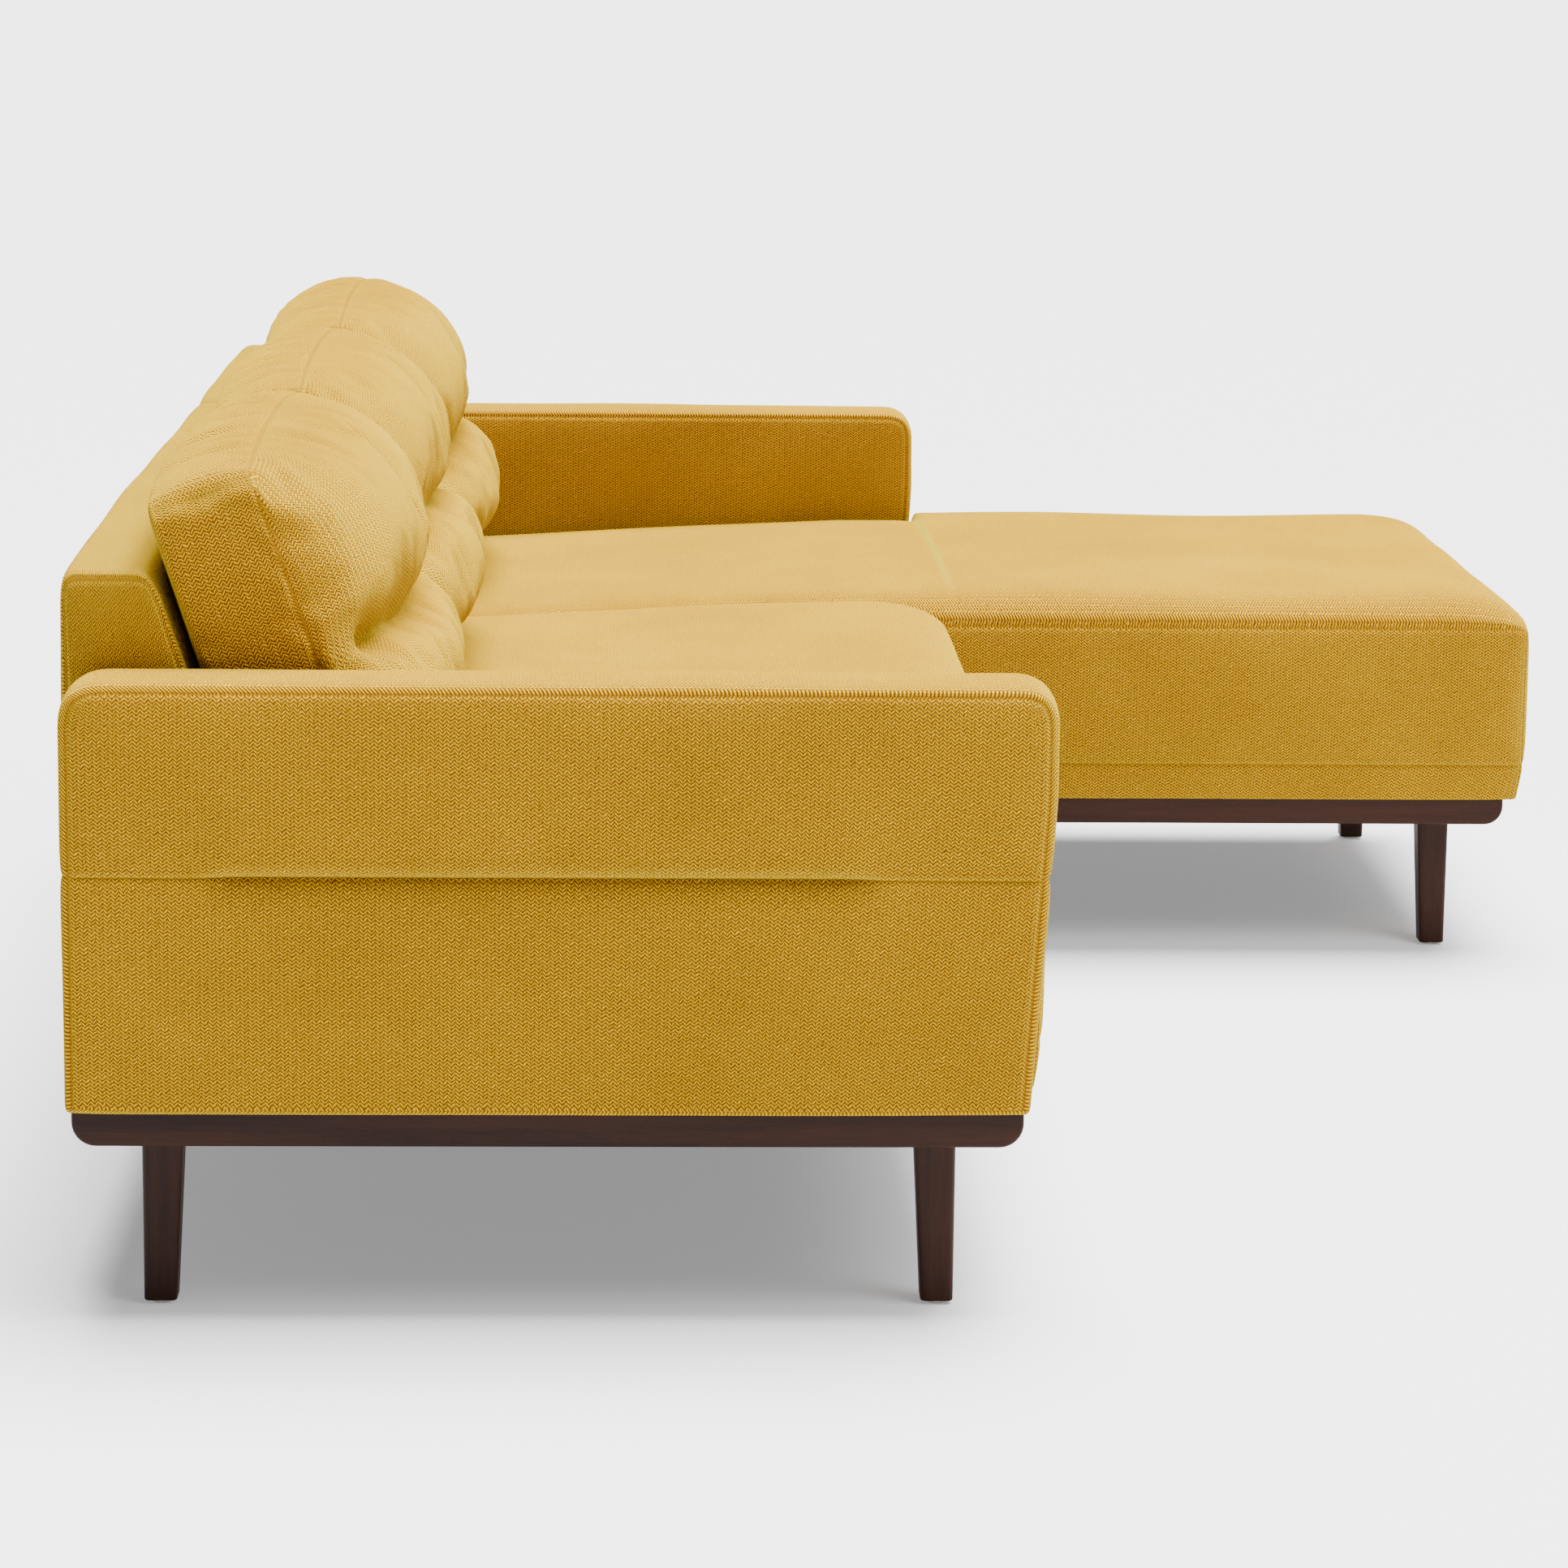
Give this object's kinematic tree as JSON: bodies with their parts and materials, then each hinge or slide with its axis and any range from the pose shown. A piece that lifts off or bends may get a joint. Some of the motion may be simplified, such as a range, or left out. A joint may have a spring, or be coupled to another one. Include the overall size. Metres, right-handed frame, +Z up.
{
  "type": "corner sofa with chaise",
  "caption": "Low L-shaped corner sofa: bench seat, chaise with a T-shaped seat, square arms, loose leaning back cushions, a dark wood plinth and tapered wooden legs.",
  "frame": {"origin": "on the floor, at the middle of the object's outline", "axes": "+X along the sofa towards the chaise, +Y towards the wall behind it, +Z up"},
  "size_m": [2.25, 1.61, 0.7864],
  "materials": {
    "upholstery": "chunky woven mustard fabric, soft sheen",
    "cushion_fabric": "chunky woven mustard fabric, soft sheen",
    "dark_wood": "dark stained, satin lacquer",
    "frame_timber": "planed softwood",
    "steel": "zinc plated",
    "spring_steel": "oiled spring wire",
    "glide_plastic": "matt moulded nylon",
    "clip_plastic": "matt moulded plastic",
    "foam": "open-cell foam",
    "felt": "needled felt",
    "lining": "thin black non-woven cloth",
    "webbing": "woven elastic",
    "filling": "fibre wadding"
  },
  "bodies": {
    "sofa_module": {"sofa_plinth_left": "dark_wood", "sofa_plinth_right": "dark_wood", "sofa_plinth_front": "dark_wood", "sofa_plinth_rear": "dark_wood", "sofa_leg_front_left": "dark_wood", "sofa_leg_front_right": "dark_wood", "sofa_leg_rear_left": "dark_wood", "sofa_leg_rear_right": "dark_wood", "sofa_leg_glides": "glide_plastic", "sofa_corner_blocks": "frame_timber", "sofa_insert_nuts": "steel", "sofa_leg_bolts": "steel", "sofa_seat_frame": "frame_timber", "sofa_seat_springs": "spring_steel", "sofa_spring_clips": "clip_plastic", "sofa_seat_deck": "felt", "sofa_seat_core": "upholstery", "sofa_seat_topper": "upholstery", "sofa_base_border": "upholstery", "sofa_dust_cover": "lining", "sofa_arm_padding": "upholstery", "sofa_arm_frame": "frame_timber", "sofa_back_padding": "upholstery", "sofa_back_frame": "frame_timber", "sofa_back_webbing": "webbing", "connector_plates": "steel", "connector_screws": "steel"},
    "chaise_module": {"chaise_plinth_left": "dark_wood", "chaise_plinth_right": "dark_wood", "chaise_plinth_front": "dark_wood", "chaise_plinth_rear": "dark_wood", "chaise_leg_front_left": "dark_wood", "chaise_leg_front_right": "dark_wood", "chaise_leg_rear_left": "dark_wood", "chaise_leg_rear_right": "dark_wood", "chaise_leg_glides": "glide_plastic", "chaise_corner_blocks": "frame_timber", "chaise_insert_nuts": "steel", "chaise_leg_bolts": "steel", "chaise_seat_frame": "frame_timber", "chaise_seat_springs": "spring_steel", "chaise_spring_clips": "clip_plastic", "chaise_seat_deck": "felt", "chaise_seat_core": "upholstery", "chaise_seat_topper": "upholstery", "chaise_base_border": "upholstery", "chaise_dust_cover": "lining", "chaise_arm_padding": "upholstery", "chaise_arm_frame": "frame_timber", "chaise_back_padding": "upholstery", "chaise_back_frame": "frame_timber", "chaise_back_webbing": "webbing"},
    "back_cushion_left": {"cushion_left_cover": "cushion_fabric", "cushion_left_filling": "filling"},
    "back_cushion_middle": {"cushion_middle_cover": "cushion_fabric", "cushion_middle_filling": "filling"},
    "back_cushion_chaise": {"cushion_chaise_cover": "cushion_fabric", "cushion_chaise_filling": "filling"}
  },
  "joints": [
    {"name": "chaise_lift_off", "type": "slide", "parent": "sofa_module", "child": "chaise_module", "axis": [0, 0, 1], "range_m": [0, 0.08]},
    {"name": "left_cushion_lift_off", "type": "slide", "parent": "sofa_module", "child": "back_cushion_left", "axis": [0, 0, 1], "range_m": [0, 0.4]},
    {"name": "middle_cushion_lift_off", "type": "slide", "parent": "sofa_module", "child": "back_cushion_middle", "axis": [0, 0, 1], "range_m": [0, 0.4]},
    {"name": "chaise_cushion_lift_off", "type": "slide", "parent": "chaise_module", "child": "back_cushion_chaise", "axis": [0, 0, 1], "range_m": [0, 0.4]}
  ]
}
